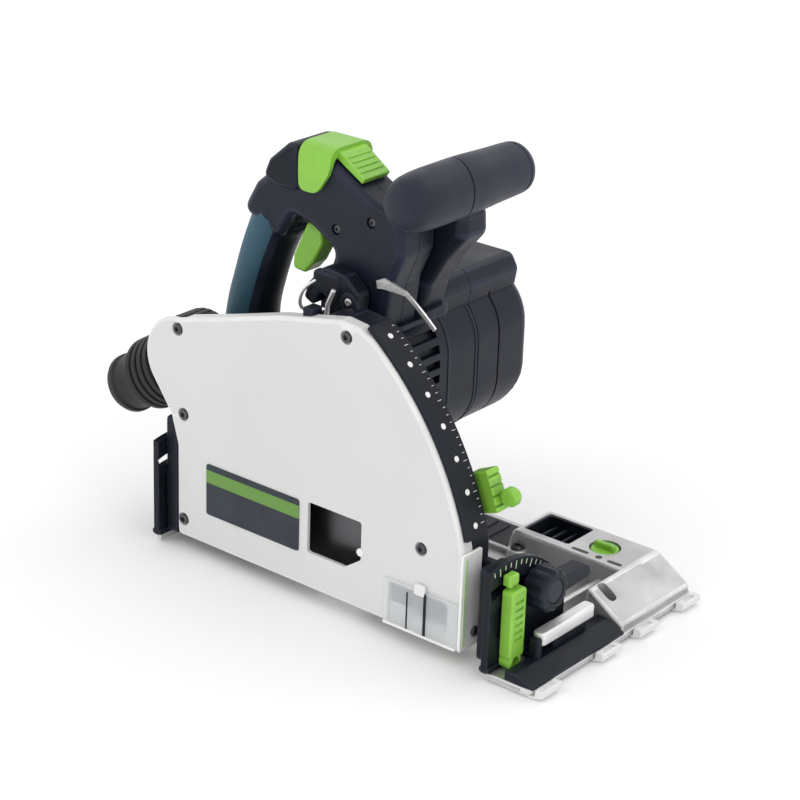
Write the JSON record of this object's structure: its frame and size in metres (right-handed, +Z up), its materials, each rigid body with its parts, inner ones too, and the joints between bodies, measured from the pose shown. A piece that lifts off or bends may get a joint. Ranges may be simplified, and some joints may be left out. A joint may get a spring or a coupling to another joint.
{
  "type": "track plunge saw",
  "caption": "Corded circular saw on a flat base that plunges its guarded blade through the base, tilts for bevels and slides along a guide rail.",
  "frame": {"origin": "on the sole's running face, under the saw spindle with the blade retracted, at the middle of the inner glide strip", "axes": "+X the cutting direction, +Y towards the motor's free end, +Z up out of the work"},
  "size_m": [0.38, 0.209, 0.283],
  "materials": {
    "cover_paint": "satin light grey paint on a pressed aluminium cover",
    "cast_alloy": "fine sand-cast and bead-blasted, satin",
    "black_plastic": "fine spark-eroded texture",
    "housing_plastic": "fine spark-eroded texture, blue-black",
    "grip_rubber": "soft petrol-blue overmould",
    "soft_grip": "soft charcoal overmould",
    "green_plastic": "satin bright green",
    "steel": "ground and zinc plated",
    "dark_steel": "black oxide",
    "glide_plastic": "slick off-white",
    "clear_window": "clear, slightly smoky",
    "label": "printed blank plate",
    "windings": "lacquered copper",
    "board": "solder mask"
  },
  "bodies": {
    "base": {"base_plate": "cast_alloy", "glide_strip_inner": "glide_plastic", "glide_strip_middle": "glide_plastic", "glide_strip_outer": "glide_plastic", "glide_pad_front": "glide_plastic", "front_angle_segment": "black_plastic", "rear_angle_segment": "black_plastic", "cross_bar": "steel"},
    "front_guide_dial": {"front_guide_dial": "green_plastic"},
    "rear_guide_dial": {"rear_guide_dial": "green_plastic"},
    "guard": {"blade_cover": "cover_paint", "inner_guard_housing": "black_plastic", "viewing_window": "clear_window", "depth_scale_strip": "black_plastic", "label_plate": "label", "cover_screw_1": "dark_steel", "cover_screw_2": "dark_steel", "cover_screw_3": "dark_steel", "front_trunnion": "black_plastic", "rear_trunnion": "black_plastic", "plunge_axle": "steel", "return_spring": "steel"},
    "dust_port": {"dust_port": "black_plastic"},
    "depth_stop": {"depth_stop": "green_plastic"},
    "depth_stop_button": {"depth_stop_button": "green_plastic"},
    "front_bevel_knob": {"front_bevel_knob": "black_plastic"},
    "rear_bevel_knob": {"rear_bevel_knob": "black_plastic"},
    "bevel_release": {"bevel_release_lever": "green_plastic"},
    "splinter_guard": {"splinter_guard": "green_plastic"},
    "motor_unit": {"gear_case": "housing_plastic", "bearing_bracket": "cast_alloy", "motor_housing": "housing_plastic", "motor_end_cap": "housing_plastic", "handle_shell_right": "black_plastic", "handle_shell_left": "black_plastic", "handle_grip": "grip_rubber", "front_handle_grip": "soft_grip", "front_handle_neck": "black_plastic", "power_inlet": "black_plastic", "spindle_bearing_outer": "steel", "spindle_bearing_inner": "steel", "motor_bearing_front": "steel", "motor_bearing_rear": "steel", "stator": "windings", "control_board": "board", "switch_body": "black_plastic", "depth_pointer": "steel"},
    "trigger": {"trigger": "green_plastic"},
    "lock_off": {"lock_off": "green_plastic"},
    "blade_change_lever": {"blade_change_lever": "black_plastic"},
    "speed_dial": {"speed_dial": "green_plastic"},
    "blade_shaft": {"saw_blade": "steel", "spindle": "steel", "inner_flange": "steel", "outer_flange": "steel", "clamp_screw": "dark_steel", "spindle_gear": "dark_steel"},
    "rotor": {"pinion": "dark_steel", "rotor_shaft": "steel", "cooling_fan": "black_plastic"}
  },
  "joints": [
    {"name": "bevel_tilt", "type": "hinge", "parent": "base", "child": "guard", "pos_m": [0, -0.06, 0.012], "axis": [1, 0, 0], "range_deg": [-1, 47]},
    {"name": "plunge", "type": "hinge", "parent": "guard", "child": "motor_unit", "pos_m": [-0.084, -0.005, 0.025], "axis": [0, 1, 0], "range_deg": [0, 40.2], "stiffness_Nm_per_rad": 5, "springref_deg": -68.75},
    {"name": "blade_spin", "type": "hinge", "parent": "motor_unit", "child": "blade_shaft", "pos_m": [0, -0.056, 0.092], "axis": [0, 1, 0], "continuous": true},
    {"name": "rotor_spin", "type": "hinge", "parent": "motor_unit", "child": "rotor", "pos_m": [-0.0151, 0, 0.11], "axis": [0, 1, 0], "continuous": true},
    {"name": "dust_port_swivel", "type": "hinge", "parent": "guard", "child": "dust_port", "pos_m": [-0.1134, -0.045, 0.133], "axis": [0, 1, 0], "range_deg": [-10, 70]},
    {"name": "depth_stop_travel", "type": "hinge", "parent": "guard", "child": "depth_stop", "pos_m": [-0.084, -0.036, 0.025], "axis": [0, 1, 0], "range_deg": [-33, 0]},
    {"name": "depth_stop_press", "type": "slide", "parent": "depth_stop", "child": "depth_stop_button", "axis": [0, -1, 0], "range_m": [0, 0.002], "stiffness_N_per_m": 400, "springref_m": -0.001},
    {"name": "front_knob_turn", "type": "hinge", "parent": "guard", "child": "front_bevel_knob", "pos_m": [0.15, -0.03179, 0.05083], "axis": [1, 0, 0], "range_deg": [0, 60]},
    {"name": "rear_knob_turn", "type": "hinge", "parent": "guard", "child": "rear_bevel_knob", "pos_m": [-0.134, -0.03179, 0.05083], "axis": [1, 0, 0], "range_deg": [0, 60]},
    {"name": "bevel_release_turn", "type": "hinge", "parent": "guard", "child": "bevel_release", "pos_m": [0.15, -0.06, 0.012], "axis": [1, 0, 0], "range_deg": [0, 20]},
    {"name": "splinter_guard_set", "type": "slide", "parent": "guard", "child": "splinter_guard", "axis": [0, 0, -1], "range_m": [0, 0.005]},
    {"name": "trigger_pull", "type": "hinge", "parent": "motor_unit", "child": "trigger", "pos_m": [-0.05, -0.005, 0.224], "axis": [0, 1, 0], "range_deg": [0, 8], "stiffness_Nm_per_rad": 0.4, "springref_deg": -11.46},
    {"name": "lock_off_push", "type": "slide", "parent": "motor_unit", "child": "lock_off", "axis": [1, 0, 0], "range_m": [0, 0.006], "stiffness_N_per_m": 300, "springref_m": -0.004},
    {"name": "blade_change_turn", "type": "hinge", "parent": "motor_unit", "child": "blade_change_lever", "pos_m": [-0.003, -0.028, 0.19], "axis": [0, 1, 0], "range_deg": [0, 30]},
    {"name": "speed_dial_turn", "type": "hinge", "parent": "motor_unit", "child": "speed_dial", "pos_m": [-0.06, 0.05, 0.136], "axis": [0, 1, 0], "range_deg": [-135, 135]},
    {"name": "front_guide_dial_turn", "type": "hinge", "parent": "base", "child": "front_guide_dial", "pos_m": [0.124, 0.08, 0.026], "axis": [0, 0, 1], "range_deg": [-45, 45]},
    {"name": "rear_guide_dial_turn", "type": "hinge", "parent": "base", "child": "rear_guide_dial", "pos_m": [-0.112, 0.06, 0.006], "axis": [0, 0, 1], "range_deg": [-45, 45]}
  ],
  "couplings": [
    {"joint": "rotor_spin", "follows": "blade_spin", "ratio": -2.9167}
  ]
}
